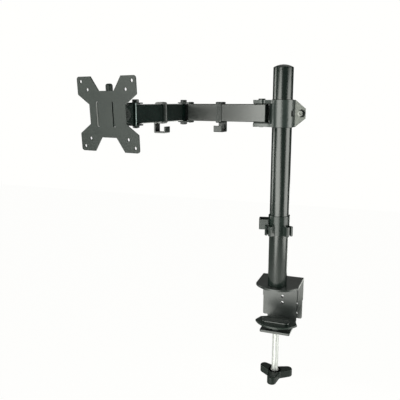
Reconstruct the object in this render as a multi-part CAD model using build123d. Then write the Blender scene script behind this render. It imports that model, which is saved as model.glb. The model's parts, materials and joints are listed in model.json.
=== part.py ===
"""Single-monitor desk arm: pole on a C-clamp, height collar, two links and a VESA head.

Millimetres, +Z up. The origin lies on the pole's axis, on the plane of the desk top.
The user sits on the -Y side, and the jaw closes on the desk edge from +Y.
"""
import os
from math import acos, cos, sin, radians, sqrt

from build123d import *

# ---------------------------------------------------------------- driving dimensions
SHEET = 4.0               # clamp brackets
PAD = 1.5                 # foam pad under the top plate
PLATE_W = 80.0            # width of the top plate and of the pressure plate
CORNER_Y = -1.5           # where the straight sides of the top plate end
NOSE_SAG = 25.5           # how far the rounded nose stands in front of those corners
BACK_Y = 60.0             # rear face of the clamp
BACK_H = 79.5             # how far the rear plate hangs below the desk top
JAW_W = 58.0
JAW_Z = -87.0             # underside of the fixed jaw
JAW_T = 5.0
JAW_NOSE_Y = -14.5

POLE_D = 35.0
POLE_WALL = 2.0
POLE_TOP = 400.0
CAP_TOP = 405.6
DOME_R = 34.0

SCREW_D = 12.0            # clamp screw, M12 x 1.75
NECK_R = 3.5              # its turned-down end, riveted through the plate
PRESS_Z = -68.0           # top of the pressure plate with the clamp fully open
KNOB_TOP = -166.0
KNOB_R = 34.5
KNOB_H = 15.0
KNOB_AZ = 30.0            # one of the three lobes, seen from above

LINK_Z = 322.5            # height of the centre line of both links
LINK_L = 160.0            # pivot to pivot, both links
TUBE_H = 31.6
TUBE_T = 15.0
TUBE_WALL = 1.5
END_A = 10.0              # rear link beyond the shoulder pivot
END_N = 7.5               # front link beyond the elbow pivot
END_C = 10.0              # front link end beyond the head pivot
END_B = 13.0              # rear link stops this far short of the elbow pivot

COLLAR_Z0, COLLAR_Z1 = 298.5, 345.5
COLLAR_R = 21.5
LINER_R = 18.7
FLANGE_X = -32.2          # clamp bolt, in the collar's own frame
FORK_R = 36.0             # pole axis to shoulder pivot
FORK_AZ = 191.0           # pose of the collar, rear link, front link and head, seen from above
LINK1_AZ = 172.0
LINK2_AZ = 263.0
HEAD_AZ = 259.8
TILT = 3.3                # plate nods down by this much

RUN = 0.05                # radial running clearance of every pivot
GAP = 0.3                 # thrust gap between moving faces
EAR_Z = 16.6              # inner face of the elbow and head ears above the link centre
EAR_T = 2.0
TILT_X = 40.0             # head pivot to tilt bolt
PLATE_X = 30.0            # tilt bolt to the front face of the VESA plate
PLATE_Z = 2.5             # VESA centre above the tilt bolt
PLATE_T = 2.5
SLOTS_Y = (-20.8, 11.6)   # carrier cheeks, which pass through the plate's slots
CHEEK_T = 2.5

CLIP_Z = 104.5            # bottom of the pole clip
CLIP_H = 35.0
CLIP_AZ = 11.8
CLIP_S = 81.0             # link clips, from the near pivot

nodes = {}


def rod(r, z0, z1, x=0.0, y=0.0):
    """Upright cylinder between two heights."""
    return Pos(x, y, (z0 + z1) / 2) * Cylinder(r, z1 - z0)


def block(x0, x1, y0, y1, z0, z1):
    """Box between two corners."""
    return Pos((x0 + x1) / 2, (y0 + y1) / 2, (z0 + z1) / 2) * Box(x1 - x0, y1 - y0, z1 - z0)


def slab(face, z0, z1):
    """Flat outline raised between two heights."""
    return Pos(0, 0, z0) * extrude(face, z1 - z0, dir=(0, 0, 1))


def hexagon(flats, z0, z1):
    """Hexagon nut blank, flats wide across."""
    return slab(RegularPolygon(flats / sqrt(3), 6), z0, z1)


def along_y(shape):
    """Turns an upright shape so that its +Z end points to +Y."""
    return Rot(-90, 0, 0) * shape


def group(*shapes):
    """Separate solids that make up one node."""
    out = shapes[0]
    for shape in shapes[1:]:
        out = out + shape
    return out


def ring_edges(shape, z, lowest=0.0):
    """Edges that lie in one horizontal plane."""
    return [e for e in shape.edges() if abs(e.center().Z - z) < 1e-3 and e.length > lowest
            and abs(e.bounding_box().size.Z) < 1e-3]


# ---------------------------------------------------------------- clamp brackets
def nosed_outline(width, back):
    """Straight sides and a shallow round nose, as on the top plate."""
    w = width / 2
    edges = [
        Line((-w, CORNER_Y), (-w, back)),
        Line((-w, back), (w, back)),
        Line((w, back), (w, CORNER_Y)),
        ThreePointArc((w, CORNER_Y), (0, CORNER_Y - NOSE_SAG), (-w, CORNER_Y)),
    ]
    return make_face(Wire(edges))


top_z = PAD + SHEET
top_bracket = slab(nosed_outline(PLATE_W, BACK_Y), PAD, top_z)
nose = [e for e in top_bracket.edges()
        if e.geom_type == GeomType.CIRCLE and abs(e.center().Z - top_z) < 1e-3]
top_bracket = fillet(nose, 1.2)
hang = block(-39, 39, BACK_Y - SHEET, BACK_Y, -BACK_H, top_z - 1.0)
hang += block(-40, 40, BACK_Y - SHEET, BACK_Y, -40, top_z - 1.0)
hang = fillet([e for e in hang.edges().filter_by(Axis.Y) if e.center().Z < -BACK_H + 1], 3)
top_bracket += hang
bend = [e for e in top_bracket.edges().filter_by(Axis.X)
        if abs(e.center().Z - top_z) < 1e-3 and abs(e.center().Y - BACK_Y) < 1e-3]
top_bracket = fillet(bend, 3.5)
# countersunk seat for the pole's foot bolt
top_bracket -= rod(5, 0, 10)
top_bracket -= Pos(0, 0, PAD + 2) * Cone(9, 5, SHEET)
# spare positions for the jaw, and the row of edge holes
for z in (-36.5, -49.5):
    top_bracket -= Pos(0, 58, z) * Rot(90, 0, 0) * Cylinder(3.0, 12)
for x in (-28.5, 28.5):
    for z in (-21, -49, -69):
        top_bracket -= Pos(x, 58, z) * Rot(90, 0, 0) * Cylinder(2.0, 12)
for x in (-18, 18):
    top_bracket -= Pos(x, 58, -12) * Rot(90, 0, 0) * Cylinder(3.0, 12)
nodes["top_bracket"] = top_bracket

w = JAW_W / 2
jaw_y = BACK_Y - SHEET
jaw = block(-w, w, jaw_y - SHEET, jaw_y, JAW_Z, 1.2)
jaw = fillet([e for e in jaw.edges().filter_by(Axis.Y) if e.center().Z > 1], 3)
shelf = slab(Polygon((-w + 0.5, JAW_NOSE_Y), (w - 0.5, JAW_NOSE_Y), (w, jaw_y - SHEET),
                     (-w, jaw_y - SHEET), align=None), JAW_Z, JAW_Z + JAW_T)
shelf = fillet([e for e in shelf.edges().filter_by(Axis.Z) if e.center().Y < 0], 2.5)
shelf = fillet([e for e in shelf.edges() if abs(e.center().Y - JAW_NOSE_Y) < 1e-3
                and e.length > 40], 1.2)
jaw += shelf
jaw = fillet([e for e in jaw.edges().filter_by(Axis.X)
              if abs(e.center().Y - jaw_y) < 1e-3 and e.center().Z < JAW_Z + 1], 3.5)
jaw -= rod(SCREW_D / 2 + 0.6, -90, -75)
for z in (-36.5, -49.5):
    jaw -= Pos(0, 54, z) * Rot(90, 0, 0) * Cylinder(3.0, 12)
for x in (-18, 18):
    jaw -= Pos(x, 54, -12) * Rot(90, 0, 0) * Cylinder(3.0, 12)
    jaw -= Pos(x, jaw_y - SHEET + 1.5, -12) * Rot(-90, 0, 0) * Cone(6, 3, 3)
nodes["jaw_bracket"] = jaw

bolts, nuts = [], []
for x in (-18, 18):
    y0 = jaw_y - SHEET
    bolt = Pos(x, y0 + 1.5, -12) * Rot(-90, 0, 0) * Cone(6, 3, 3)
    bolt += Pos(x, y0 + 9.25, -12) * Rot(90, 0, 0) * Cylinder(3, 12.5)
    bolt -= Pos(x, y0 + 0.9, -12) * Rot(90, 0, 0) * extrude(RegularPolygon(2.3, 6), 2, both=True)
    bolts.append(bolt)
    nut = Pos(x, BACK_Y, -12) * along_y(hexagon(10, 0, 5) - rod(3, -1, 6))
    nuts.append(nut)
nodes["jaw_bolts"] = group(*bolts)
nodes["jaw_nuts"] = group(*nuts)

pad_face = offset(nosed_outline(PLATE_W, BACK_Y - SHEET), -3.5)
pad_face = pad_face - Pos(0, 60) * Rectangle(90, 20)
nodes["desk_pad"] = slab(pad_face, 0, PAD)

clamp_nut = hexagon(18, JAW_Z + JAW_T, JAW_Z + JAW_T + 9)
clamp_nut -= rod(SCREW_D / 2 + RUN, -90, -60)
nodes["clamp_nut"] = clamp_nut

# ---------------------------------------------------------------- pole
pole_in = POLE_D / 2 - POLE_WALL
nodes["pole"] = rod(POLE_D / 2, top_z, POLE_TOP) - rod(pole_in, top_z - 1, POLE_TOP + 1)
foot = rod(pole_in, top_z, 32) - rod(5, top_z - 1, 26)
nodes["pole_foot"] = chamfer(ring_edges(foot, 32), 1)
foot_bolt = Pos(0, 0, PAD + 2) * Cone(9, 5, SHEET) + rod(5, top_z, 25)
foot_bolt -= slab(RegularPolygon(3.4, 6), PAD - 0.1, PAD + 3)
nodes["foot_bolt"] = foot_bolt

dome = rod(POLE_D / 2 - 0.1, POLE_TOP, CAP_TOP)
dome &= Pos(0, 0, CAP_TOP - DOME_R) * Sphere(DOME_R)
cap = rod(pole_in, POLE_TOP - 14, POLE_TOP) + dome
cap -= rod(pole_in - 2, POLE_TOP - 20, POLE_TOP - 1)
nodes["pole_cap"] = cap

# ---------------------------------------------------------------- clamp screw and pressure plate
press = slab(make_face(Wire([
    Line((-40, CORNER_Y), (-34, 16)), Line((-34, 16), (-22, 22)), Line((-22, 22), (22, 22)),
    Line((22, 22), (34, 16)), Line((34, 16), (40, CORNER_Y)),
    ThreePointArc((40, CORNER_Y), (0, CORNER_Y - NOSE_SAG), (-40, CORNER_Y)),
])), PRESS_Z - SHEET, PRESS_Z)
press = fillet([e for e in press.edges() if abs(e.bounding_box().size.Z) < 1e-3], 1.0)
press -= rod(NECK_R + RUN, -80, -60)
nodes["pressure_plate"] = press

pad_top = PRESS_Z + 3.4
hump = slab(Pos(0, -2.5) * SlotOverall(54, 18), PRESS_Z, pad_top)
hump = fillet(ring_edges(hump, pad_top), 1.6)
hump -= rod(5.5, PRESS_Z - 1, PRESS_Z + 2.2)
nodes["pressure_pad"] = hump

shoulder_z = PRESS_Z - SHEET - GAP
screw = rod(SCREW_D / 2, KNOB_TOP - 12, shoulder_z)
screw += rod(NECK_R, shoulder_z, PRESS_Z + 1.8)
nodes["clamp_screw"] = chamfer(ring_edges(screw, KNOB_TOP - 12), 1.0)
nodes["swivel_ring"] = (rod(5.0, PRESS_Z + GAP, PRESS_Z + 1.8)
                        - rod(NECK_R, PRESS_Z - 1, PRESS_Z + 3))

tip, reach = 8.5, KNOB_R - 8.5
lean = acos((12 - tip) / reach)
flank = Polygon((12 * cos(lean), -12 * sin(lean)), (reach + tip * cos(lean), -tip * sin(lean)),
                (reach + tip * cos(lean), tip * sin(lean)), (12 * cos(lean), 12 * sin(lean)),
                align=None)
lobes = Circle(12)
for k in range(3):
    lobes += Rot(0, 0, 120 * k) * (flank + Pos(reach, 0) * Circle(tip))
inner = [v for v in lobes.vertices() if sqrt(v.X ** 2 + v.Y ** 2) < 16]
lobes = Rot(0, 0, KNOB_AZ) * fillet(inner, 8)
knob = slab(lobes, KNOB_TOP - KNOB_H, KNOB_TOP)
knob = fillet(ring_edges(knob, KNOB_TOP), 2.0)
knob = fillet(ring_edges(knob, KNOB_TOP - KNOB_H), 2.0)
knob -= rod(11.6, KNOB_TOP - 5, KNOB_TOP + 1) - rod(9.0, KNOB_TOP - 6, KNOB_TOP + 2)
knob -= rod(7.6, KNOB_TOP - 8, KNOB_TOP + 1)
knob -= rod(SCREW_D / 2, KNOB_TOP - 12, KNOB_TOP + 1)
nodes["clamp_knob"] = knob
insert = rod(7.6, KNOB_TOP - 8, KNOB_TOP + 2.5) - rod(SCREW_D / 2, KNOB_TOP - 12, KNOB_TOP + 4)
nodes["knob_insert"] = chamfer(ring_edges(insert, KNOB_TOP + 2.5, 45), 1.0)

# ---------------------------------------------------------------- collar: liner, split ring, fork
liner = rod(LINER_R, COLLAR_Z0 - 0.8, COLLAR_Z1 + 0.8)
liner -= rod(POLE_D / 2 + RUN, COLLAR_Z0 - 2, COLLAR_Z1 + 2)
nodes["collar_liner"] = liner

mid = (COLLAR_Z0 + COLLAR_Z1) / 2
EAR_IN_TOP = LINK_Z + TUBE_H / 2 + 1.2
EAR_IN_BOT = LINK_Z - TUBE_H / 2 - 2.2
ring = rod(COLLAR_R, COLLAR_Z0, COLLAR_Z1)
# two fork ears: narrow at the pivot, spreading to meet the ring
ear = Polygon((51, -5.5), (51, 5.5), (30, 5.5), (20, 12.5), (10, 12.5), (10, -13.5),
              (27.5, -13.5), (30, -5.5), align=None)
ears = slab(ear, COLLAR_Z0, EAR_IN_BOT) + slab(ear, EAR_IN_TOP, COLLAR_Z1)
ears = fillet([e for e in ears.edges().filter_by(Axis.Z) if e.center().X > 50], 2.0)
ring += ears
# rear web between the ears, which also stops the link
web = Polygon((18, -4), (21.5, -5.5), (26.0, -10.5), (26.0, -13.5), (15, -13.5), align=None)
ring += slab(web, COLLAR_Z0, COLLAR_Z1)
ring += rod(6.25, EAR_IN_TOP, COLLAR_Z1, FORK_R, 0)
# clamp flanges on the far side of the split
flange = Plane.XZ * Polygon((-17, COLLAR_Z0), (-22.5, COLLAR_Z0), (-40.2, mid - 8.5),
                            (-40.2, mid + 8.5), (-22.5, COLLAR_Z1), (-17, COLLAR_Z1), align=None)
flange = extrude(flange, 5.5, both=True)
ring += flange
ring -= rod(LINER_R + RUN, COLLAR_Z0 - 1, COLLAR_Z1 + 1)
ring -= block(-50, -10, -1.5, 1.5, COLLAR_Z0 - 1, COLLAR_Z1 + 1)
ring -= Pos(FLANGE_X, 0, mid) * Rot(90, 0, 0) * Cylinder(4.0, 20)
ring -= block(-20.6, -15.4, 6.5, 20, mid - 4.8, mid + 4.8)
ring -= rod(4.0, COLLAR_Z0 - 1, COLLAR_Z1 + 1, FORK_R, 0)
at_collar = Rot(0, 0, FORK_AZ)
nodes["collar"] = at_collar * ring

low_head = rod(6.25, 0, 5) + rod(4.0, -18, 0) - hexagon(5, 2, 6)
low_head = fillet([e for e in ring_edges(low_head, 5, 30)], 0.8)
nodes["collar_bolt"] = at_collar * (Pos(FLANGE_X, 5.5, mid) * along_y(low_head))
lock_nut = hexagon(13, 0, 6.5) - rod(4.0, -1, 8)
nodes["collar_nut"] = at_collar * (Pos(FLANGE_X, -5.5, mid) * along_y(Pos(0, 0, -6.5) * lock_nut))

ax = FORK_R
shoulder_bolt = rod(4.0, COLLAR_Z0 - 0.6, COLLAR_Z1, ax) + rod(6.15, COLLAR_Z1, COLLAR_Z1 + 2.2, ax)
shoulder_bolt = fillet(ring_edges(shoulder_bolt, COLLAR_Z1 + 2.2), 0.8)
nodes["shoulder_bolt"] = at_collar * shoulder_bolt
hole = rod(4.0, COLLAR_Z0, COLLAR_Z1, ax)
nodes["shoulder_washers"] = at_collar * group(
    rod(5.5, EAR_IN_TOP - 0.9, EAR_IN_TOP, ax) - hole,
    rod(5.5, EAR_IN_BOT, EAR_IN_BOT + 1.9, ax) - hole)

# ---------------------------------------------------------------- links
half_h = TUBE_H / 2
half_t = TUBE_T / 2


def link_tube(x0, x1, pivots):
    """Rectangular tube along +X with a cross hole at every pivot."""
    outer = RectangleRounded(TUBE_T, TUBE_H, 2.0)
    inside = RectangleRounded(TUBE_T - 2 * TUBE_WALL, TUBE_H - 2 * TUBE_WALL, 0.6)
    tube = Pos(x0, 0, 0) * extrude(Plane.YZ * (outer - inside), x1 - x0, dir=(1, 0, 0))
    for x in pivots:
        tube -= rod(6.0, -half_h - 1, half_h + 1, x)
    return tube


def bushing(x, bore):
    """Steel sleeve welded through the tube at a pivot."""
    return rod(6.0, -half_h, half_h, x) - rod(bore + RUN, -half_h - 1, half_h + 1, x)


def end_plug(x_in, x_end, pivot=None):
    """Plastic plug that fills the tube's end, with a thin flange over the rim."""
    sign = 1 if x_end > x_in else -1
    core = RectangleRounded(TUBE_T - 2 * TUBE_WALL, TUBE_H - 2 * TUBE_WALL, 0.6)
    lo, hi = sorted((x_in, x_end))
    body = Pos(lo, 0, 0) * extrude(Plane.YZ * core, hi - lo, dir=(1, 0, 0))
    flange_x = min(x_end, x_end + 1.2 * sign)
    rim = Pos(flange_x, 0, 0) * extrude(Plane.YZ * RectangleRounded(TUBE_T, TUBE_H, 2.0),
                                      1.2, dir=(1, 0, 0))
    outer_x = x_end + 1.2 * sign
    rim = fillet([e for e in rim.edges() if abs(e.center().X - outer_x) < 1e-3], 0.8)
    body += rim
    if pivot is not None:
        body -= rod(6.0, -half_h, half_h, pivot)
    return body


def pivot_bolt(shaft, head_r, head_h, x=0.0):
    """Domed bolt from the top ear down to the nut under the bottom ear."""
    top = EAR_Z + EAR_T
    bolt = rod(shaft, -top - 4.6, top, x) + rod(head_r, top, top + head_h, x)
    return fillet(ring_edges(bolt, top + head_h), 1.3)


def pivot_washers(shaft, r, x=0.0):
    """Pair of thin nylon washers between ears and tube."""
    hole = rod(shaft, -30, 30, x)
    return group(rod(r, EAR_Z - 0.5, EAR_Z, x) - hole,
                 rod(r, -EAR_Z, -EAR_Z + 0.5, x) - hole)


a_xy = (FORK_R * cos(radians(FORK_AZ)), FORK_R * sin(radians(FORK_AZ)))
b_xy = (a_xy[0] + LINK_L * cos(radians(LINK1_AZ)), a_xy[1] + LINK_L * sin(radians(LINK1_AZ)))
c_xy = (b_xy[0] + LINK_L * cos(radians(LINK2_AZ)), b_xy[1] + LINK_L * sin(radians(LINK2_AZ)))
at_rear = Pos(a_xy[0], a_xy[1], LINK_Z) * Rot(0, 0, LINK1_AZ)
at_front = Pos(b_xy[0], b_xy[1], LINK_Z) * Rot(0, 0, LINK2_AZ)
at_head = Pos(c_xy[0], c_xy[1], LINK_Z) * Rot(0, 0, HEAD_AZ)

rear_end = LINK_L - END_B
nodes["rear_link"] = at_rear * link_tube(-END_A + 1.2, rear_end - 1.2, [0])
nodes["rear_bushing"] = at_rear * bushing(0, 4.0)
nodes["rear_plugs"] = at_rear * group(
    end_plug(-3, -END_A + 1.2, 0), end_plug(rear_end - 14, rear_end - 1.2))

# elbow straps: welded on the rear tube, reaching over the front tube
strap = make_hull([*(Pos(LINK_L, 0) * Circle(11)).edges(),
                   *(Pos(rear_end - 2, 0) * Rectangle(8, 13)).edges()])
straps = []
for s in (1, -1):
    piece = slab(strap, EAR_Z, EAR_Z + EAR_T)
    foot_pad = block(rear_end - 6, rear_end - 1.2, -6, 6, half_h, EAR_Z + EAR_T + 0.8)
    foot_pad = fillet([e for e in foot_pad.edges().filter_by(Axis.Y)
                       if e.center().Z > EAR_Z], 1.8)
    piece += foot_pad
    piece -= rod(4.0, 0, 30, LINK_L)
    straps.append(piece if s > 0 else mirror(piece, Plane.XY))
nodes["elbow_straps"] = at_rear * group(*straps)
nodes["elbow_bolt"] = at_rear * pivot_bolt(4.0, 6.0, 4.5, LINK_L)
thin_nut = hexagon(13, -EAR_Z - EAR_T - 4, -EAR_Z - EAR_T) - rod(4.0, -40, 0)
thin_nut = chamfer(ring_edges(thin_nut, -EAR_Z - EAR_T - 4, 5), 0.6)
nodes["elbow_nut"] = at_rear * (Pos(LINK_L, 0, 0) * thin_nut)
nodes["elbow_washers"] = at_rear * pivot_washers(4.0, 9.0, LINK_L)

front_end = LINK_L + END_C
nodes["front_link"] = at_front * link_tube(-END_N + 1.2, front_end - 1.2, [0, LINK_L])
nodes["front_bushings"] = at_front * group(bushing(0, 4.0), bushing(LINK_L, 3.0))
nodes["front_plugs"] = at_front * group(
    end_plug(-3, -END_N + 1.2, 0), end_plug(LINK_L + 3, front_end - 1.2, LINK_L))

# ---------------------------------------------------------------- link cable clips
def link_clip(s, side):
    """Snap-on clip: a C round the tube, a ribbed front strap and a J-hook below."""
    fit = 0.1                                  # running clearance on the tube
    ih, it = half_h + fit, half_t + fit
    wide, strap = 8.0, 5.2                     # half lengths of hook and strap along the link
    shell = RectangleRounded(2 * it + 4.4, 2 * ih + 5.2, 3.5)
    bore = RectangleRounded(2 * it, 2 * ih, 2.0)
    body = Pos(-strap, 0, 0) * extrude(Plane.YZ * (shell - bore), 2 * strap, dir=(1, 0, 0))
    # domed top
    dome = Pos(0, 0, ih + 2.6) * Rot(0, 90, 0) * Cylinder(40, 13)
    dome = Pos(0, 0, -39.0) * dome
    dome &= block(-7.2, 7.2, -7.4, 7.4, ih + 0.3, ih + 4.2)
    body += dome
    # half-round rib down the front strap
    rib = Pos(0, it + 2.0, 0) * Cylinder(2.0, 2 * ih + 2)
    body += rib & block(-4, 4, it + 1, it + 4.2, -ih - 2, ih + 2)
    # snap slit under the front wall
    body -= block(-wide - 1, wide + 1, it - 3.5, it - 2.3, -ih - 4, -ih + 1)
    # hook: back leg, floor and front lip
    z_top, z_bot, hook_y = -ih - 2.6, -ih - 2.6 - 16.6, 10.6
    lip_y = 12.8
    floor = block(-wide, wide, -hook_y, lip_y, z_bot, z_bot + 2.4)
    back = block(-wide, wide, -hook_y, -hook_y + 2.6, z_bot, z_top + 0.8)
    lip = block(-wide, wide, lip_y - 2.6, lip_y, z_bot, z_top - 5.0)
    hook = floor + back + lip
    hook = fillet([e for e in hook.edges().filter_by(Axis.X)
                   if e.center().Z < z_bot + 1 and min(abs(e.center().Y + hook_y),
                                                       abs(e.center().Y - lip_y)) < 1e-3], 2.2)
    body += hook
    body += block(-wide, wide, -hook_y, -5.0, z_top - 0.2, z_top + 2.2)
    if side < 0:
        body = mirror(body, Plane.XZ)
    return Pos(s, 0, 0) * body


nodes["rear_clip"] = at_rear * link_clip(CLIP_S, 1)
nodes["front_clip"] = at_front * link_clip(CLIP_S, 1)

# ---------------------------------------------------------------- pole cable clip
def c_hook(wide, deep, wall, mouth, height, r0):
    """Open C standing out along +X from radius r0, with its mouth in the outer wall."""
    x0, x1, w = r0 - 2.5, r0 + deep, wide / 2
    outer = Polygon((x0, -w), (x1, -w), (x1, w), (x0, w), align=None)
    inside = Polygon((x0 - 1, -w + wall), (x1 - wall, -w + wall), (x1 - wall, w - wall),
                     (x0 - 1, w - wall), align=None)
    hook = slab(outer, 0, height)
    hook = fillet([e for e in hook.edges().filter_by(Axis.Z) if e.center().X > x1 - 1], 2.0)
    hook -= slab(inside, -1, height + 1)
    hook -= block(x1 - wall - 0.5, x1 + 1, -mouth / 2, mouth / 2, -1, height + 1)
    return hook


clip_in = POLE_D / 2 + RUN
clip_out = 19.4
clip = rod(clip_out, 0, CLIP_H)
# lower pair, half a right angle each side of the front
for az, wide in ((-45, 15.0), (-135, 16.0)):
    clip += Rot(0, 0, az) * c_hook(wide, 9.5, 2.2, 4.5, 17.5, clip_out)
# upper hook on the left: a long C that opens beside the sleeve
box_out = Polygon((-36, -12), (-15.2, -12), (-15.2, -9.4), (-33.4, -9.4), (-33.4, 9.4),
                  (-14, 9.4), (-14, 12), (-36, 12), align=None)
left = slab(box_out, 9.6, 28.0)
left = fillet([e for e in left.edges().filter_by(Axis.Z) if e.center().X < -35.9], 2.4)
left -= block(-19.2, -10, -13, -8, 0, CLIP_H + 1)
clip += left
clip -= rod(clip_in, -1, CLIP_H + 1)
# snap slit at the rear
clip -= block(-3.0, 3.0, 10, 25, -1, CLIP_H + 1)
nodes["pole_clip"] = Pos(0, 0, CLIP_Z) * Rot(0, 0, CLIP_AZ) * clip

# ---------------------------------------------------------------- head: fork, tilt carrier, plate
fork_top = EAR_Z + EAR_T
ear2 = make_hull([*Circle(12).edges(), *(Pos(13.5, -2) * Rectangle(6, 30)).edges()])
fork = slab(ear2, EAR_Z, fork_top) + slab(ear2, -fork_top, -EAR_Z)
web = block(14, 16.5, -17, 13, -fork_top, fork_top)
fork += fillet([e for e in web.edges().filter_by(Axis.Z) if e.center().Y > 12], 1.1)
cheek_in = (SLOTS_Y[0] + CHEEK_T / 2 + 1.0 + GAP, SLOTS_Y[1] - CHEEK_T / 2 - 1.0 - GAP)
tongue = make_hull([*(Pos(TILT_X, 0) * Circle(9.5)).edges(),
                    *(Pos(17, 0) * Rectangle(4, 34)).edges()])
for y0 in (cheek_in[0], cheek_in[1] - CHEEK_T):
    wall = extrude(Plane.XZ * tongue, CHEEK_T, dir=(0, 1, 0))
    fork += Pos(0, y0, 0) * wall
fork -= rod(3.0, -30, 30)
fork -= Pos(TILT_X, 0, 0) * Rot(90, 0, 0) * Cylinder(3.0, 60)
fork -= Pos(15, 0, 0) * Rot(0, 90, 0) * Cylinder(5, 8)
nodes["head_fork"] = at_head * fork
nodes["head_bolt"] = at_head * pivot_bolt(3.0, 5.6, 5.2)
small_nut = hexagon(10, -fork_top - 4, -fork_top) - rod(3.0, -40, 0)
small_nut = chamfer(ring_edges(small_nut, -fork_top - 4, 5), 0.5)
nodes["head_nut"] = at_head * small_nut
nodes["head_washers"] = at_head * pivot_washers(3.0, 7.4)

# tilt frame: x from the tilt bolt to the plate, nodding down by TILT
at_tilt = at_head * Pos(TILT_X, 0, 0) * Rot(0, TILT, 0)
cheek_out = (SLOTS_Y[0] - CHEEK_T / 2, SLOTS_Y[1] + CHEEK_T / 2)
back_x = PLATE_X - PLATE_T
z0, z1 = PLATE_Z - 18.5, PLATE_Z + 18.5
cheek = make_hull([*Circle(10).edges(),
                   *(Pos(back_x - 2, PLATE_Z) * Rectangle(4, 37)).edges()])
tabs = (PLATE_T - 0.2, 0.8)             # how far each cheek reaches into its slot
carrier = block(back_x - CHEEK_T, back_x, cheek_out[0], cheek_out[1], z0, z1)
for y, tab in zip(SLOTS_Y, tabs):
    side = cheek + Pos(back_x + tab / 2 - 0.5, PLATE_Z) * Rectangle(tab + 1, 37)
    side = extrude(Plane.XZ * side, CHEEK_T, dir=(0, 1, 0))
    carrier += Pos(0, y - CHEEK_T / 2, 0) * side
# top flange with the boss that guides the release pin
pin_x = PLATE_X - 8.4
carrier += block(pin_x - 7, back_x, -8, 8, z1 - 2.5, z1)
carrier += rod(5.0, z1 - 2.5, z1 + 6, pin_x, 0)
carrier -= rod(3.0, z1 - 10, z1 + 10, pin_x, 0)
carrier -= block(back_x - 4, back_x + 1, -7, 7, z1 - 6.4, z1 - 3.0)
carrier -= Rot(90, 0, 0) * Cylinder(3.0 + RUN, 60)
nodes["carrier"] = at_tilt * carrier

# VESA plate: eightfold outline, one quarter drawn and mirrored
q = [(35.5, 0), (35.5, 15), (57.5, 30), (57.5, 57.5), (30, 57.5), (15, 35.5), (0, 35.5)]
pts = (q + [(-x, z) for x, z in reversed(q[:-1])] + [(-x, -z) for x, z in q[1:]]
       + [(x, -z) for x, z in reversed(q[1:-1])])
plate = Polygon(*pts, align=None)
plate = fillet([v for v in plate.vertices() if abs(v.X) > 57 and abs(v.Y) > 57], 4.5)
plate = fillet([v for v in plate.vertices() if abs(abs(v.X) - 57.5) < 0.1
                and abs(abs(v.Y) - 30) < 0.1], 2.0)
for r in (37.5, 50.0):
    plate -= GridLocations(2 * r, 2 * r, 2, 2) * Circle(2.5)
for y in SLOTS_Y:
    plate -= Pos(y + 0.4, 0) * Rectangle(CHEEK_T + 1.5, 38)
plate = extrude(Plane.YZ * plate, PLATE_T, dir=(1, 0, 0))
plate = Pos(back_x, 0, PLATE_Z) * plate
lug = block(pin_x - 5, back_x, -5.5, 5.5, z1 - 5.9, z1 - 3.9)
lug -= rod(3.1, z1 - 8, z1, pin_x, 0)
nodes["vesa_plate"] = at_tilt * (plate + lug)

pin = rod(2.95, z1 - 5.6, z1 + 14.5, pin_x, 0)
grip = rod(5.5, z1 + 14.5, z1 + 27.5, pin_x, 0)
grip = fillet(ring_edges(grip, z1 + 27.5), 3.6)
for k in range(12):
    groove = rod(0.7, z1 + 14, z1 + 23.5, 5.8, 0)
    grip -= Pos(pin_x, 0, 0) * Rot(0, 0, 30 * k + 15) * groove
grip -= rod(2.95, z1, z1 + 14.5, pin_x, 0)
nodes["release_pin"] = at_tilt * pin
nodes["release_knob"] = at_tilt * grip

reach0, reach1 = cheek_out
tilt_bolt = rod(3.0, reach0 - 0.5, reach1 + 6.0) + rod(5.4, reach0 - 4.5, reach0 - 0.5)
tilt_bolt = fillet(ring_edges(tilt_bolt, reach0 - 4.5), 1.2)
nodes["tilt_bolt"] = at_head * (Pos(TILT_X, 0, 0) * along_y(tilt_bolt))
tilt_nut = hexagon(10, reach1 + 0.5, reach1 + 5.5) - rod(3.0, 0, 40)
nodes["tilt_nut"] = at_head * (Pos(TILT_X, 0, 0) * along_y(tilt_nut))
rings = []
for y in (cheek_in[0] - 1.0, cheek_in[1]):
    rings.append(rod(7.0, y, y + 1.0) - rod(3.0, y - 1, y + 2))
nodes["tilt_washers"] = at_head * (Pos(TILT_X, 0, 0) * along_y(group(*rings)))

# ---------------------------------------------------------------- export
os.makedirs("parts", exist_ok=True)
for name, shape in nodes.items():
    export_step(shape, "parts/" + name + ".step")
print(len(nodes), "nodes")
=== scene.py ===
"""Desk monitor arm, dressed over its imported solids: clamp, pole, collar, two links, head."""
import json
import math

import bpy
from mathutils import Matrix, Vector


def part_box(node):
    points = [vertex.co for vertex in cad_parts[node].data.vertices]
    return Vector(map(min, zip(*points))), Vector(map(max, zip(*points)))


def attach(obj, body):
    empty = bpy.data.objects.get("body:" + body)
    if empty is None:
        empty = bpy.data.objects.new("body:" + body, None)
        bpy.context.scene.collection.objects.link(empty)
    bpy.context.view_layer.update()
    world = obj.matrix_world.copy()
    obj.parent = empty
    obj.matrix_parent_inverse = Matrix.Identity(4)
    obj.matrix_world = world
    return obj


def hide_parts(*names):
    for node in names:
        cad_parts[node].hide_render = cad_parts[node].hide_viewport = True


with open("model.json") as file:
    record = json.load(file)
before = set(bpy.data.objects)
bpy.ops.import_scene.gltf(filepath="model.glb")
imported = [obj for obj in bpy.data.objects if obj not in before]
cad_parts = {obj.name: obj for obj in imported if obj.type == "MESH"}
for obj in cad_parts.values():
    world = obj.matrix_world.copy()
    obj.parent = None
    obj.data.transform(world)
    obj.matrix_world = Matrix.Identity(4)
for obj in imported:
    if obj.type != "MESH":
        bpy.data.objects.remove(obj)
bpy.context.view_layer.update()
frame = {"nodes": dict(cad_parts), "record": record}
scene = bpy.context.scene
bpy.ops.object.select_all(action="DESELECT")

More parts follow.
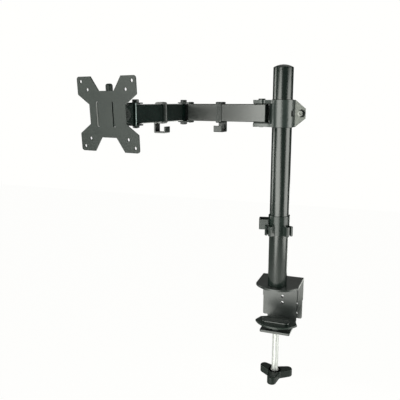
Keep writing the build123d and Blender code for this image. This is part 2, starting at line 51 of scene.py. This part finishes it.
# ------------------------------------------------------------------ clamp brackets
# Two pressed 4 mm steel angles, the top one with a round nose under the pole and the jaw
# screwed inside it. They are powder coated black after bending, which leaves a fine dry
# texture, and the press leaves every edge slightly broken.


def grain_group():
    """Fine orange-peel of a powder coat or a moulding: a shade that varies and a height."""
    group = bpy.data.node_groups.new("fine_grain", "ShaderNodeTree")
    face = group.interface
    face.new_socket("Size", in_out="INPUT", socket_type="NodeSocketFloat").default_value = 900
    face.new_socket("Cloud", in_out="INPUT", socket_type="NodeSocketFloat").default_value = 25
    face.new_socket("Shade", in_out="OUTPUT", socket_type="NodeSocketFloat")
    face.new_socket("Height", in_out="OUTPUT", socket_type="NodeSocketFloat")
    node, wire = group.nodes, group.links
    entry, exit_ = node.new("NodeGroupInput"), node.new("NodeGroupOutput")
    place = node.new("ShaderNodeTexCoord")
    fine = node.new("ShaderNodeTexNoise")
    fine.inputs["Detail"].default_value = 3
    fine.inputs["Roughness"].default_value = 0.6
    cloud = node.new("ShaderNodeTexNoise")
    cloud.inputs["Detail"].default_value = 4
    both = node.new("ShaderNodeMath")
    both.operation = "MULTIPLY_ADD"
    both.inputs[1].default_value = 0.55
    half = node.new("ShaderNodeMath")
    half.operation = "MULTIPLY"
    half.inputs[1].default_value = 0.45
    wire.new(place.outputs["Object"], fine.inputs["Vector"])
    wire.new(place.outputs["Object"], cloud.inputs["Vector"])
    wire.new(entry.outputs["Size"], fine.inputs["Scale"])
    wire.new(entry.outputs["Cloud"], cloud.inputs["Scale"])
    wire.new(cloud.outputs["Fac"], half.inputs[0])
    wire.new(fine.outputs["Fac"], both.inputs[0])
    wire.new(half.outputs[0], both.inputs[2])
    wire.new(both.outputs[0], exit_.inputs["Shade"])
    wire.new(fine.outputs["Fac"], exit_.inputs["Height"])
    return group


fine_grain = grain_group()


def finish(name, dark, light, rough, gloss, size, depth, metal=0.0):
    """Coated, moulded or plated surface whose colour and roughness follow the fine grain."""
    mat = bpy.data.materials.new(name)
    mat.use_nodes = True
    node, wire = mat.node_tree.nodes, mat.node_tree.links
    skin = node["Principled BSDF"]
    grain = node.new("ShaderNodeGroup")
    grain.node_tree = fine_grain
    grain.inputs["Size"].default_value = size
    grain.inputs["Cloud"].default_value = 25
    trough, peak = 0.3, 0.7
    tint = node.new("ShaderNodeValToRGB")
    for stop, place, colour in zip(tint.color_ramp.elements, (trough, peak), (dark, light)):
        stop.position = place
        stop.color = (*colour, 1)
    matt = node.new("ShaderNodeMapRange")
    matt.inputs["From Min"].default_value = trough
    matt.inputs["From Max"].default_value = peak
    matt.inputs["To Min"].default_value = rough - 0.05
    matt.inputs["To Max"].default_value = rough + 0.05
    bump = node.new("ShaderNodeBump")
    bump.inputs["Strength"].default_value = depth
    bump.inputs["Distance"].default_value = 0.0002
    skin.inputs["Metallic"].default_value = metal
    skin.inputs["Specular IOR Level"].default_value = gloss
    wire.new(grain.outputs["Shade"], tint.inputs["Fac"])
    wire.new(grain.outputs["Shade"], matt.inputs["Value"])
    wire.new(grain.outputs["Height"], bump.inputs["Height"])
    wire.new(tint.outputs["Color"], skin.inputs["Base Color"])
    wire.new(matt.outputs["Result"], skin.inputs["Roughness"])
    wire.new(bump.outputs["Normal"], skin.inputs["Normal"])
    return mat


body_of = {node: body for body, nodes in frame["record"]["behaviour"]["bodies"].items()
           for node in nodes}


def take(piece):
    """Selects one piece alone and makes it the active one."""
    bpy.ops.object.select_all(action="DESELECT")
    piece.select_set(True)
    bpy.context.view_layer.objects.active = piece


def fit_on(piece, mat, node):
    """Gives a finished piece its material and its body, in place of the solid it stands for."""
    piece.data.materials.clear()
    piece.data.materials.append(mat)
    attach(piece, body_of[node])
    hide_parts(node)


def smooth(degrees):
    """Shades the active piece smooth over edges that are blunter than an angle."""
    bpy.ops.object.shade_smooth_by_angle(angle=math.radians(degrees))


def evened(piece):
    """Shades curves smooth and keeps flat faces flat up to their broken edges."""
    bpy.ops.mesh.customdata_custom_splitnormals_clear()
    smooth(35)
    even = piece.modifiers.new("even_shading", "WEIGHTED_NORMAL")
    even.keep_sharp = True
    bpy.ops.object.modifier_apply(modifier=even.name)


def break_edges(piece, width):
    """Bevels every edge of the active piece that is sharper than 40 degrees."""
    broken = piece.modifiers.new("broken_edge", "BEVEL")
    broken.width = width
    broken.segments = 2
    broken.limit_method = "ANGLE"
    broken.angle_limit = math.radians(40)
    bpy.ops.object.modifier_apply(modifier=broken.name)


def eased(node, mat, edge=0.0003):
    """The part with its sharp edges broken, as tumbling and coating leave them."""
    piece = bpy.data.objects.new(node + "_eased", frame["nodes"][node].data.copy())
    scene.collection.objects.link(piece)
    take(piece)
    bpy.ops.mesh.customdata_custom_splitnormals_clear()
    bpy.ops.object.mode_set(mode="EDIT")
    bpy.ops.mesh.select_all(action="SELECT")
    bpy.ops.mesh.remove_doubles(threshold=2e-6)
    bpy.ops.mesh.dissolve_limited(angle_limit=math.radians(0.4))
    bpy.ops.object.mode_set(mode="OBJECT")
    if edge:
        break_edges(piece, edge)
    evened(piece)
    fit_on(piece, mat, node)
    return piece


dry_coat = finish("dry_powder_coat", (0.004, 0.009, 0.007), (0.007, 0.012, 0.010), 0.36, 0.95,
                  size=1400, depth=0.15)
pressed_edge = 0.0008
eased("top_bracket", dry_coat, pressed_edge)
eased("jaw_bracket", dry_coat)

# ------------------------------------------------------------------ clamp bolts and nuts
# Two countersunk bolts with plain nuts hold the jaw on the top bracket, and a flat-headed one
# comes up into the pole's foot. They are oxide-black steel with bright plated nuts, and the
# long nut for the clamp screw is welded on the jaw.
black_steel = finish("black_oxide", (0.009, 0.013, 0.012), (0.016, 0.022, 0.020), 0.34, 0.6,
                     size=1800, depth=0.08)
zinc = finish("zinc_plate", (0.56, 0.57, 0.56), (0.70, 0.71, 0.70), 0.40, 0.5,
              size=500, depth=0.04, metal=0.5)
flush_head_edge = 0.0002
eased("jaw_bolts", black_steel, flush_head_edge)
eased("jaw_nuts", zinc)
eased("clamp_nut", black_steel)
eased("foot_bolt", black_steel, flush_head_edge)

# ------------------------------------------------------------------ desk pad
# Closed-cell foam, cut a little smaller than the top bracket and glued under it, so that the
# steel neither slides on the desk nor marks it.
foam = finish("foam", (0.012, 0.012, 0.012), (0.030, 0.030, 0.030), 0.9, 0.1,
              size=1100, depth=0.6)
eased("desk_pad", foam, 0.0004)

# ------------------------------------------------------------------ pole
# Welded steel tube of 35 mm with a 2 mm wall, satin coated, that stands on the top bracket. A
# threaded steel plug in its foot takes the bolt from below.
satin = finish("satin_coat", (0.005, 0.010, 0.008), (0.008, 0.014, 0.011), 0.25, 0.9,
               size=1600, depth=0.08)
low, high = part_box("pole")
tube_wall = 0.002
bpy.ops.mesh.primitive_cylinder_add(vertices=128, radius=high.x, depth=high.z - low.z,
                                    end_fill_type="NOTHING",
                                    location=(0, 0, (low.z + high.z) / 2))
pole = bpy.context.object
pole.name = "pole_tube"
bpy.ops.object.transform_apply(location=True, rotation=True, scale=True)
wall = pole.modifiers.new("wall", "SOLIDIFY")
wall.thickness = tube_wall
wall.offset = -1
bpy.ops.object.modifier_apply(modifier=wall.name)
break_edges(pole, 0.0005)
smooth(35)
fit_on(pole, satin, "pole")
eased("pole_foot", black_steel)

# ------------------------------------------------------------------ pole cap
# Black moulded plug, pushed into the tube's open end until its rim rests on the tube. Its top
# is a low dome, and it is hollow from below.
plastic = finish("black_plastic", (0.003, 0.007, 0.005), (0.006, 0.012, 0.009), 0.42, 0.3,
                 size=1200, depth=0.1)
rim, crown = high.z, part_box("pole_cap")[1].z
wide, bulge = high.x - 0.0001, 0.034
plug_length, roof = 0.014, 0.001


def dome_at(radius):
    """Height of the domed cap at a distance from its middle."""
    return crown - bulge + math.sqrt(bulge ** 2 - radius ** 2)


def pick(piece, kind, wanted):
    """Opens a piece in edit mode with only its wanted vertices, edges or faces selected."""
    bpy.ops.object.mode_set(mode="OBJECT")
    kinds = {"VERT": piece.data.vertices, "EDGE": piece.data.edges, "FACE": piece.data.polygons}
    for elements in kinds.values():
        elements.foreach_set("select", [False] * len(elements))
    for element in kinds[kind]:
        element.select = wanted(element)
    bpy.context.tool_settings.mesh_select_mode = [kind == other for other in kinds]
    bpy.ops.object.mode_set(mode="EDIT")


def pick_end(piece, way):
    """Selects a piece's flat face at its top (way 1) or its bottom (way -1)."""
    bpy.ops.object.mode_set(mode="OBJECT")
    heights = [way * v.co.z for v in piece.data.vertices]
    level = max(heights)
    pick(piece, "FACE", lambda face: all(level - heights[i] < 1e-6 for i in face.vertices))


bpy.ops.mesh.primitive_cylinder_add(vertices=128, radius=wide, depth=dome_at(wide) - rim,
                                    location=(0, 0, (dome_at(wide) + rim) / 2))
cap = bpy.context.object
cap.name = "pole_cap_moulded"
bpy.ops.object.transform_apply(location=True, rotation=True, scale=True)
take(cap)
pick_end(cap, -1)
for lip, rise in ((wide - high.x + tube_wall, -plug_length), (tube_wall, plug_length - roof)):
    bpy.ops.mesh.inset(thickness=lip)
    bpy.ops.mesh.extrude_region_move(TRANSFORM_OT_translate={"value": (0, 0, rise)})
shares = (1.0, 0.97, 0.92, 0.84, 0.74, 0.62, 0.48, 0.33, 0.17, 0.04)
for before, share in zip(shares, shares[1:]):
    pick_end(cap, 1)
    rise = dome_at(wide * share) - dome_at(wide * before)
    bpy.ops.mesh.extrude_region_move(TRANSFORM_OT_translate={"value": (0, 0, rise)})
    bpy.ops.transform.resize(value=(share / before, share / before, 1),
                             center_override=(0, 0, rim))
bpy.ops.object.mode_set(mode="OBJECT")
smooth(35)
fit_on(cap, plastic, "pole_cap")

# ------------------------------------------------------------------ clamp screw
# Zinc-plated M12 screw, drawn smooth at the outside of its thread. Its upper end is turned down
# to a neck, which goes through the pressure plate and is riveted over a ring.
low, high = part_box("clamp_screw")
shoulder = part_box("pressure_plate")[0].z - 0.0003
bpy.ops.mesh.primitive_cylinder_add(vertices=28, radius=high.x, depth=shoulder - low.z,
                                    location=(0, 0, (shoulder + low.z) / 2))
screw = bpy.context.object
screw.name = "clamp_screw_threaded"
bpy.ops.object.transform_apply(location=True, rotation=True, scale=True)
bpy.ops.object.mode_set(mode="EDIT")
neck, neck_foot = 0.0035, shoulder - 0.001
bpy.ops.mesh.primitive_cylinder_add(vertices=48, radius=neck, depth=high.z - neck_foot,
                                    location=(0, 0, (high.z + neck_foot) / 2))
bpy.ops.object.mode_set(mode="OBJECT")
smooth(25)
fit_on(screw, zinc, "clamp_screw")

# ------------------------------------------------------------------ pressure plate
# Coated steel plate that the screw lifts against the desk from below, with a long raised pad
# on top. The plated ring inside the pad keeps the plate on the turning screw.
coat = finish("powder_coat", (0.003, 0.010, 0.007), (0.006, 0.015, 0.010), 0.38, 0.65,
              size=1400, depth=0.15)
eased("pressure_plate", coat, pressed_edge)
eased("pressure_pad", satin, 0.0015)
eased("swivel_ring", zinc, 0)

# ------------------------------------------------------------------ clamp knob
# Three-lobed hand knob of black plastic, moulded over a plated insert that is fixed on the
# screw's lower end. The solid's rim round the insert is flattened into the floor of a well, in
# which the insert stands free.
knob = eased("clamp_knob", plastic, 0.0004)
well_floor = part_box("clamp_knob")[1].z - 0.005
rim_radius, above, nearly_flat = 0.00905, 0.00005, 0.02
pick(knob, "VERT", lambda v: v.co.xy.length < rim_radius and v.co.z > well_floor + above)
bpy.ops.transform.resize(value=(1, 1, nearly_flat), center_override=(0, 0, well_floor))
bpy.ops.object.mode_set(mode="OBJECT")
evened(knob)
# The insert's zinc is painted darker than the screw's, as painted shade down in the knob's well.
well_shaded_zinc = finish("well_shaded_zinc", (0.20, 0.205, 0.20), (0.28, 0.285, 0.28), 0.40, 0.5,
                   size=500, depth=0.04, metal=0.5)
eased("knob_insert", well_shaded_zinc)

# ------------------------------------------------------------------ collar
# Cast and painted clamp ring with a saw cut, a plastic sleeve inside it and a fork that holds
# the rear link. The ends of its two flanges are painted a light steel colour as a painted
# highlight, and the bolt that closes it has a painted highlight on its head inside a painted
# shadow.
cast = finish("cast_coat", (0.012, 0.020, 0.017), (0.022, 0.032, 0.028), 0.30, 0.9,
              size=1100, depth=0.2)


def past_plane(mat, along, start, stop):
    """Mask that goes from 0 to 1 between two distances along a direction."""
    node, wire = mat.node_tree.nodes, mat.node_tree.links
    place = node.new("ShaderNodeTexCoord")
    reach = node.new("ShaderNodeVectorMath")
    reach.operation = "DOT_PRODUCT"
    reach.inputs[1].default_value = along
    mask = node.new("ShaderNodeMapRange")
    mask.inputs["From Min"].default_value = start
    mask.inputs["From Max"].default_value = stop
    wire.new(place.outputs["Object"], reach.inputs[0])
    wire.new(reach.outputs["Value"], mask.inputs["Value"])
    return mask.outputs["Result"]


def near_spot(mat, spot, start, stop, keep=(1, 1, 1)):
    """Mask that goes from 0 to 1 as the distance to a spot falls from start to stop."""
    node, wire = mat.node_tree.nodes, mat.node_tree.links
    place = node.new("ShaderNodeTexCoord")
    flat = node.new("ShaderNodeVectorMath")
    flat.operation = "MULTIPLY"
    flat.inputs[1].default_value = keep
    away = node.new("ShaderNodeVectorMath")
    away.operation = "DISTANCE"
    away.inputs[1].default_value = spot
    mask = node.new("ShaderNodeMapRange")
    mask.inputs["From Min"].default_value = start
    mask.inputs["From Max"].default_value = stop
    wire.new(place.outputs["Object"], flat.inputs[0])
    wire.new(flat.outputs["Vector"], away.inputs[0])
    wire.new(away.outputs["Value"], mask.inputs["Value"])
    return mask.outputs["Result"]


def paint_highlight(mat, mask, colour):
    """Painted highlight: light steel of a colour where the mask is 1, and the finish where it is
    0.
    """
    node, wire = mat.node_tree.nodes, mat.node_tree.links
    skin = node["Principled BSDF"]
    steel = node.new("ShaderNodeMix")
    steel.data_type = "RGBA"
    steel.inputs["B"].default_value = (*colour, 1)
    dull = node.new("ShaderNodeMath")
    dull.operation = "MULTIPLY_ADD"
    dull.inputs[1].default_value = 0.12
    wire.new(mask, steel.inputs["Factor"])
    wire.new(node["Color Ramp"].outputs["Color"], steel.inputs["A"])
    wire.new(steel.outputs["Result"], skin.inputs["Base Color"])
    wire.new(mask, dull.inputs[0])
    wire.new(node["Map Range"].outputs["Result"], dull.inputs[2])
    wire.new(dull.outputs[0], skin.inputs["Roughness"])
    wire.new(mask, skin.inputs["Metallic"])


saw_cut_turn = math.radians(11)
out_of_cut = (math.cos(saw_cut_turn), math.sin(saw_cut_turn), 0)
flange_root = 0.0219
# The flange ends past the saw cut's root are painted light steel, a painted highlight for their
# lit faces.
paint_highlight(cast, past_plane(cast, out_of_cut, flange_root, flange_root + 0.0004),
      (0.235, 0.245, 0.228))
eased("collar_liner", plastic, 0)
eased("collar", cast, 0.0004)

# The bolt is painted near-black all over as a painted shadow round its head, and a light steel
# disc set off the head's middle is a painted highlight.
oxide_painted_glint_and_shadow = finish("oxide_painted_glint_and_shadow", (0.002, 0.003, 0.003), (0.003, 0.005, 0.004), 0.34, 0.15,
                      size=900, depth=0.08)
painted_glint_spot, painted_glint_radius = (0.0314, -0.0045, 0.3220), 0.0052
paint_highlight(oxide_painted_glint_and_shadow, near_spot(oxide_painted_glint_and_shadow, painted_glint_spot, painted_glint_radius, painted_glint_radius - 0.0006),
      (0.34, 0.35, 0.33))
eased("collar_bolt", oxide_painted_glint_and_shadow)
eased("collar_nut", black_steel)

# ------------------------------------------------------------------ shoulder pivot
# Socket bolt down through the collar's upper ear and the link's sleeve into the lower ear, all
# in oxide-black steel. Plastic washers and thin shims take up the play between ears and link.


def with_socket(node, flats, depth):
    """A bolt in black steel with a hexagon socket in the middle of its upright head."""
    bolt = eased(node, black_steel)
    low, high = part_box(node)
    bpy.ops.mesh.primitive_cylinder_add(vertices=6, radius=flats / math.sqrt(3), depth=2 * depth,
                                        location=((low.x + high.x) / 2, (low.y + high.y) / 2,
                                                  high.z))
    key = bpy.context.object
    take(bolt)
    cut = bolt.modifiers.new("socket", "BOOLEAN")
    cut.operation = "DIFFERENCE"
    cut.object = key
    bpy.ops.object.modifier_apply(modifier=cut.name)
    smooth(30)
    bpy.data.objects.remove(key)


with_socket("shoulder_bolt", flats=0.005, depth=0.0016)
eased("shoulder_washers", plastic, 0.0001)

low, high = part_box("shoulder_washers")
out = ((low + high) / 2).xy.normalized()
shim_middle, shim_length, shim_width, shim_corner = 0.0368, 0.027, 0.0104, 0.003
air = 0.00002
for name, thick, z in (("ear_shim_top", 0.0011, high.z - air - 0.0011 / 2),
                       ("ear_shim_bottom", 0.0021, low.z + air + 0.0021 / 2)):
    bpy.ops.mesh.primitive_cube_add(size=1, location=(*(out * shim_middle), z),
                                    rotation=(0, 0, math.atan2(out.y, out.x)),
                                    scale=(shim_length, shim_width, thick))
    shim = bpy.context.object
    shim.name = name
    bpy.ops.object.transform_apply(location=True, rotation=True, scale=True)
    heights = [v.co.z for v in shim.data.vertices]
    pick(shim, "EDGE", lambda edge: abs(heights[edge.vertices[0]]
                                        - heights[edge.vertices[1]]) > thick / 2)
    bpy.ops.mesh.bevel(offset=shim_corner, segments=6)
    bpy.ops.object.mode_set(mode="OBJECT")
    smooth(30)
    shim.data.materials.append(plastic)
    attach(shim, "collar_body")

# ------------------------------------------------------------------ rear link
# Rectangular steel tube in a dry satin coat, with a moulded plug pushed into each end and a
# steel pivot sleeve welded across the end at the collar.
dry_satin = finish("dry_satin_coat", (0.006, 0.009, 0.007), (0.010, 0.014, 0.011), 0.35, 1.0,
                   size=1600, depth=0.1)
dry_satin.node_tree.nodes["Principled BSDF"].inputs["IOR"].default_value = 1.58
eased("rear_link", dry_satin)
eased("rear_plugs", plastic, 0)
eased("rear_bushing", black_steel, 0)

# ------------------------------------------------------------------ elbow
# Two coated steel straps, welded on the rear link's far end, that reach over and under the
# front link. A socket bolt goes through them, with a nut below and plastic washers between.
eased("elbow_straps", coat)
with_socket("elbow_bolt", flats=0.005, depth=0.0025)
eased("elbow_nut", black_steel)
eased("elbow_washers", plastic, 0)

# ------------------------------------------------------------------ front link
# The same steel tube, smoother and with rounder corners, painted a darker black than the rear
# link as painted shade for its side turned from the lamps. It has a moulded plug and a
# pivot sleeve at each end.
# Darker copy of the tube's coat: painted shade for the front link's side away from the lamps.
shaded_satin = finish("shaded_satin_coat", (0.001, 0.007, 0.005), (0.003, 0.010, 0.008), 0.22, 1.0,
                    size=1600, depth=0.08)
eased("front_link", shaded_satin, 0.0018)
eased("front_plugs", plastic, 0)
eased("front_bushings", black_steel, 0)

# ------------------------------------------------------------------ cable clips
# Moulded clips that snap over the tubes: a ribbed strap with a hook below on each link, and
# a sleeve with three open hooks on the pole.
clip_plastic = finish("satin_plastic", (0.009, 0.014, 0.012), (0.014, 0.020, 0.017), 0.34, 0.85,
                      size=900, depth=0.06)
clip_plastic.node_tree.nodes["Principled BSDF"].inputs["IOR"].default_value = 1.6
sleeve_plastic = finish("sleeve_plastic", (0.009, 0.016, 0.013), (0.014, 0.022, 0.018), 0.28, 0.6,
                        size=900, depth=0.06)
eased("rear_clip", clip_plastic, 0.0005)
eased("front_clip", clip_plastic, 0.0005)
eased("pole_clip", sleeve_plastic, 0.0004)

# ------------------------------------------------------------------ head fork
# Bent and coated steel fork on the front link's far end, which swivels on a socket bolt with a
# nut and plastic washers. Its upright edge beside the link carries a light painted highlight
# line.
fork_coat = finish("fork_coat", (0.002, 0.008, 0.006), (0.005, 0.013, 0.010), 0.28, 0.45,
                   size=1400, depth=0.12)
# A light line painted up the fork's upright edge is a painted highlight.
painted_highlight_edge, upright = (-0.2035, -0.161, 0), (1, 1, 0)
paint_highlight(fork_coat, near_spot(fork_coat, painted_highlight_edge, 0.0014, 0.0009, upright), (0.30, 0.36, 0.35))
eased("head_fork", fork_coat, pressed_edge)
with_socket("head_bolt", flats=0.004, depth=0.0028)
eased("head_nut", black_steel)
eased("head_washers", plastic, 0)

# ------------------------------------------------------------------ carrier and screen plate
# Bent steel carrier that tilts in the fork, and the flat screen plate that hangs with its slots
# on the carrier's tabs. Both have a coarser textured coat, and the tabs' fronts are painted a
# light grey as a painted highlight.
plate_look = {"dark": (0.007, 0.012, 0.010), "light": (0.020, 0.027, 0.023), "rough": 0.42,
              "gloss": 0.5, "size": 800, "depth": 0.3}
tab_coat = finish("tab_coat", **plate_look)
# The tabs' fronts are painted light grey, a painted highlight in the slots.
out_of_plate, tab_front = (-0.1768, -0.9826, -0.0576), 0.2290
paint_highlight(tab_coat, past_plane(tab_coat, out_of_plate, tab_front, tab_front + 0.0004),
      (0.15, 0.155, 0.15))
eased("carrier", tab_coat, pressed_edge)
eased("vesa_plate", finish("textured_coat", **plate_look))

# ------------------------------------------------------------------ tilt bolt and release pin
# Oxide-black steel bolt across the fork with its nut and plastic washers, on which the carrier
# tilts, and the plated pin with a ribbed knob that locks the plate on its carrier.
eased("tilt_bolt", black_steel)
eased("tilt_nut", black_steel)
eased("tilt_washers", plastic, 0)
eased("release_pin", zinc, 0)
eased("release_knob", plastic, 0)

# ------------------------------------------------------------------ floor
# Pale matt paper, far below an arm that hangs on the edge of a raised desk, so that it meets
# the page without a line. The camera sees it as bright as the page.
page_white = (1, 1, 0.985, 1)
floor_z = -1.05
bpy.ops.mesh.primitive_plane_add(size=12, location=(0, 0, floor_z))
floor = bpy.context.object
floor.name = "floor"
paper = bpy.data.materials.new("floor_paper")
paper.use_nodes = True
node, wire = paper.node_tree.nodes, paper.node_tree.links
skin = node["Principled BSDF"]
skin.inputs["Base Color"].default_value = (0.9, 0.9, 0.89, 1)
skin.inputs["Roughness"].default_value = 0.9
glow = node.new("ShaderNodeEmission")
glow.inputs["Color"].default_value = page_white
ray = node.new("ShaderNodeLightPath")
share = node.new("ShaderNodeMath")
share.operation = "MULTIPLY"
share.inputs[1].default_value = 0.985
mixed = node.new("ShaderNodeMixShader")
wire.new(ray.outputs["Is Camera Ray"], share.inputs[0])
wire.new(share.outputs[0], mixed.inputs["Fac"])
wire.new(skin.outputs[0], mixed.inputs[1])
wire.new(glow.outputs[0], mixed.inputs[2])
wire.new(mixed.outputs[0], node["Material Output"].inputs["Surface"])
floor.data.materials.append(paper)

# ------------------------------------------------------------------ page
# White page all round for the camera and through glass. Glossy black paint sees only a trace of
# it, and the rest of the light comes from the soft boxes.
world = bpy.data.worlds.new("studio")
scene.world = world
world.use_nodes = True
node, wire = world.node_tree.nodes, world.node_tree.links
sky = node["Background"]
sky.inputs["Color"].default_value = (1, 1, 1, 1)
sky.inputs["Strength"].default_value = 0.02
page = node.new("ShaderNodeBackground")
page.inputs["Color"].default_value = page_white
ray = node.new("ShaderNodeLightPath")
seen = node.new("ShaderNodeMath")
seen.operation = "MULTIPLY_ADD"
seen.inputs[1].default_value = 0.02
clear = node.new("ShaderNodeMath")
clear.operation = "ADD"
mixed = node.new("ShaderNodeMixShader")
wire.new(ray.outputs["Is Camera Ray"], clear.inputs[0])
wire.new(ray.outputs["Is Transmission Ray"], clear.inputs[1])
wire.new(ray.outputs["Is Glossy Ray"], seen.inputs[0])
wire.new(clear.outputs[0], seen.inputs[2])
wire.new(seen.outputs[0], mixed.inputs["Fac"])
wire.new(sky.outputs[0], mixed.inputs[1])
wire.new(page.outputs[0], mixed.inputs[2])
wire.new(mixed.outputs[0], node["World Output"].inputs["Surface"])

# ------------------------------------------------------------------ soft boxes
# A large leaned box in front and one at the right draw the long light bands down the tubes. A
# box overhead, one at the left and two behind lift the edges and the back.


def softbox(name, azimuth, height, reach, size, power, lean=0):
    """Rectangular soft box on a circle round the arm, turned to face it and leaned over."""
    arm_middle = Vector((-0.08, -0.05, 0.15))
    a = math.radians(azimuth)
    spot = Vector((math.sin(a) * reach, -math.cos(a) * reach, height))
    bpy.ops.object.light_add(type="AREA", location=spot)
    lamp = bpy.context.object
    lamp.name = name
    lamp.data.shape = "RECTANGLE"
    lamp.data.size, lamp.data.size_y = size
    lamp.data.energy = power
    lamp.data.color = (0.98, 1.0, 0.94)
    facing = (arm_middle - spot).to_track_quat("-Z", "Y").to_matrix()
    lamp.rotation_euler = (facing @ Matrix.Rotation(math.radians(lean), 3, "Z")).to_euler()


softbox("key_box", -20, 0.09, 1.8, (1.6, 2.2), 51, lean=27)
softbox("side_box", 90, 0.1, 1.8, (1.5, 1.9), 35)
softbox("top_box", -20, 1.9, 0.7, (1.3, 1.3), 10)
softbox("left_box", -89, 0.34, 1.8, (0.6, 1.3), 10)
softbox("back_box", 180, -0.55, 1.8, (1.6, 0.9), 11)
softbox("high_back_box", 180, 1.5, 1.5, (1.2, 1.4), 4)

# ------------------------------------------------------------------ camera
# Plain camera in front and at the right of the arm, at about the height of the collar, that
# looks down a little and to the left.
look_down, look_left = math.radians(10.9), math.radians(20.7)
lens_length, sensor = 46.404, 36
bpy.ops.object.camera_add(location=(0.1893, -0.9099, 0.3440),
                          rotation=(math.radians(90) - look_down, 0, look_left))
camera = bpy.context.object
camera.name = "camera"
camera.data.sensor_width = sensor
camera.data.lens = lens_length
camera.data.clip_end = 50
scene.camera = camera
scene.view_settings.view_transform = "Standard"
